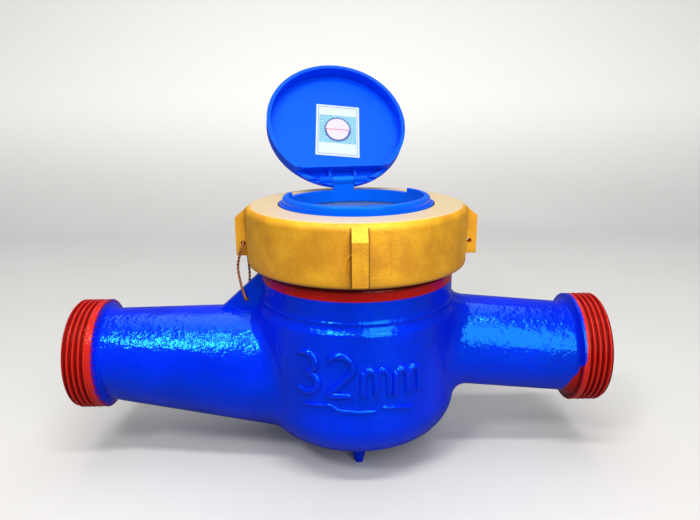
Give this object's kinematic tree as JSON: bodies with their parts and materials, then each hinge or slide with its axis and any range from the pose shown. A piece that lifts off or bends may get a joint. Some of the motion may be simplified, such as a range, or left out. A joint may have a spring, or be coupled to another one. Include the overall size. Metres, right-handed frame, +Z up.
{
  "type": "water meter",
  "caption": "Multi-jet water meter: cast body with threaded pipe ends, screwed brass ring and thick glass over a geared register, and a hinged lid on a turning cover ring.",
  "frame": {"origin": "centre of the inlet's end face, on the axis of both pipe threads", "axes": "+X along the pipe from inlet to outlet, +Z up towards the lid, +Y to the back"},
  "size_m": [0.23, 0.1224, 0.1689],
  "materials": {
    "body_paint": "gloss",
    "cast_brass": "cast",
    "turned_brass": "satin",
    "cover_resin": "satin",
    "glass": "clear",
    "white_resin": "satin",
    "black_resin": "satin",
    "red_resin": "gloss",
    "dial_face": "printed",
    "rubber": "matte",
    "steel": "satin",
    "copper_wire": "drawn"
  },
  "bodies": {
    "meter": {"body_casting": "body_paint", "strainer_basket": "black_resin", "chamber_gasket": "rubber", "chamber_cup": "white_resin", "chamber_cover": "white_resin", "pivot_pin": "turned_brass", "spindle_bush": "turned_brass", "register_base": "turned_brass", "register_screws": "steel", "register_pillars": "steel", "register_bridge": "turned_brass", "dial_plate": "dial_face", "roller_brackets": "turned_brass", "roller_shaft": "steel", "carry_shaft": "steel", "carry_pinions": "white_resin", "glass_gasket": "rubber", "sight_glass": "glass", "clamp_ring": "turned_brass", "brass_ring": "cast_brass", "seal_wire": "copper_wire"},
    "cover": {"cover_ring": "cover_resin", "hinge_pin": "steel"},
    "lid": {"lid": "cover_resin"},
    "impeller": {"impeller": "white_resin"},
    "idler_1": {"idler_1": "white_resin", "flow_star": "red_resin"},
    "pointer_1": {"pointer_arbor_1": "white_resin", "pointer_1": "red_resin"},
    "idler_2": {"idler_2": "white_resin"},
    "pointer_2": {"pointer_arbor_2": "white_resin", "pointer_2": "red_resin"},
    "idler_3": {"idler_3": "white_resin"},
    "pointer_3": {"pointer_arbor_3": "white_resin", "pointer_3": "red_resin"},
    "idler_4": {"idler_4": "white_resin"},
    "pointer_4": {"pointer_arbor_4": "white_resin", "pointer_4": "red_resin"},
    "roller_1": {"number_roller_1": "white_resin"},
    "roller_2": {"number_roller_2": "white_resin"},
    "roller_3": {"number_roller_3": "white_resin"},
    "roller_4": {"number_roller_4": "white_resin"},
    "roller_5": {"number_roller_5": "white_resin"}
  },
  "joints": [
    {"name": "cover_ring_turn", "type": "hinge", "parent": "meter", "child": "cover", "pos_m": [0.123, 0, 0.0656], "axis": [0, 0, 1], "continuous": true},
    {"name": "lid_hinge", "type": "hinge", "parent": "cover", "child": "lid", "pos_m": [0.11776, 0.02974, 0.0726], "axis": [0.9848, 0.1736, 0], "range_deg": [0, 128]},
    {"name": "impeller_spin", "type": "hinge", "parent": "meter", "child": "impeller", "pos_m": [0.123, 0, 0], "axis": [0, 0, 1], "continuous": true},
    {"name": "idler_1_spin", "type": "hinge", "parent": "meter", "child": "idler_1", "pos_m": [0.13271, 0.00088, 0.044], "axis": [0, 0, 1], "continuous": true},
    {"name": "pointer_1_spin", "type": "hinge", "parent": "meter", "child": "pointer_1", "pos_m": [0.1399, -0.00453, 0.044], "axis": [0, 0, 1], "continuous": true},
    {"name": "idler_2_spin", "type": "hinge", "parent": "meter", "child": "idler_2", "pos_m": [0.13925, -0.01426, 0.044], "axis": [0, 0, 1], "continuous": true},
    {"name": "pointer_2_spin", "type": "hinge", "parent": "meter", "child": "pointer_2", "pos_m": [0.1304, -0.01586, 0.044], "axis": [0, 0, 1], "continuous": true},
    {"name": "idler_3_spin", "type": "hinge", "parent": "meter", "child": "idler_3", "pos_m": [0.12252, -0.02161, 0.044], "axis": [0, 0, 1], "continuous": true},
    {"name": "pointer_3_spin", "type": "hinge", "parent": "meter", "child": "pointer_3", "pos_m": [0.1156, -0.01586, 0.044], "axis": [0, 0, 1], "continuous": true},
    {"name": "idler_4_spin", "type": "hinge", "parent": "meter", "child": "idler_4", "pos_m": [0.10614, -0.01353, 0.044], "axis": [0, 0, 1], "continuous": true},
    {"name": "pointer_4_spin", "type": "hinge", "parent": "meter", "child": "pointer_4", "pos_m": [0.1061, -0.00453, 0.044], "axis": [0, 0, 1], "continuous": true},
    {"name": "roller_1_spin", "type": "hinge", "parent": "meter", "child": "roller_1", "pos_m": [0.123, 0.0135, 0.0462], "axis": [1, 0, 0], "continuous": true},
    {"name": "roller_2_spin", "type": "hinge", "parent": "meter", "child": "roller_2", "pos_m": [0.123, 0.0135, 0.0462], "axis": [1, 0, 0], "continuous": true},
    {"name": "roller_3_spin", "type": "hinge", "parent": "meter", "child": "roller_3", "pos_m": [0.123, 0.0135, 0.0462], "axis": [1, 0, 0], "continuous": true},
    {"name": "roller_4_spin", "type": "hinge", "parent": "meter", "child": "roller_4", "pos_m": [0.123, 0.0135, 0.0462], "axis": [1, 0, 0], "continuous": true},
    {"name": "roller_5_spin", "type": "hinge", "parent": "meter", "child": "roller_5", "pos_m": [0.123, 0.0135, 0.0462], "axis": [1, 0, 0], "continuous": true}
  ],
  "couplings": [
    {"joint": "idler_1_spin", "follows": "impeller_spin", "ratio": -0.3},
    {"joint": "pointer_1_spin", "follows": "impeller_spin", "ratio": 0.1},
    {"joint": "idler_2_spin", "follows": "impeller_spin", "ratio": -0.03},
    {"joint": "pointer_2_spin", "follows": "impeller_spin", "ratio": 0.01},
    {"joint": "idler_3_spin", "follows": "impeller_spin", "ratio": -0.003},
    {"joint": "pointer_3_spin", "follows": "impeller_spin", "ratio": 0.001},
    {"joint": "idler_4_spin", "follows": "impeller_spin", "ratio": -0.0003},
    {"joint": "pointer_4_spin", "follows": "impeller_spin", "ratio": 0.0001},
    {"joint": "roller_1_spin", "follows": "impeller_spin", "ratio": 0.00001},
    {"joint": "roller_2_spin", "follows": "impeller_spin", "ratio": 0.000001},
    {"joint": "roller_3_spin", "follows": "impeller_spin", "ratio": 0.0000001},
    {"joint": "roller_4_spin", "follows": "impeller_spin", "ratio": 0.00000001},
    {"joint": "roller_5_spin", "follows": "impeller_spin", "ratio": 0.000000001}
  ]
}
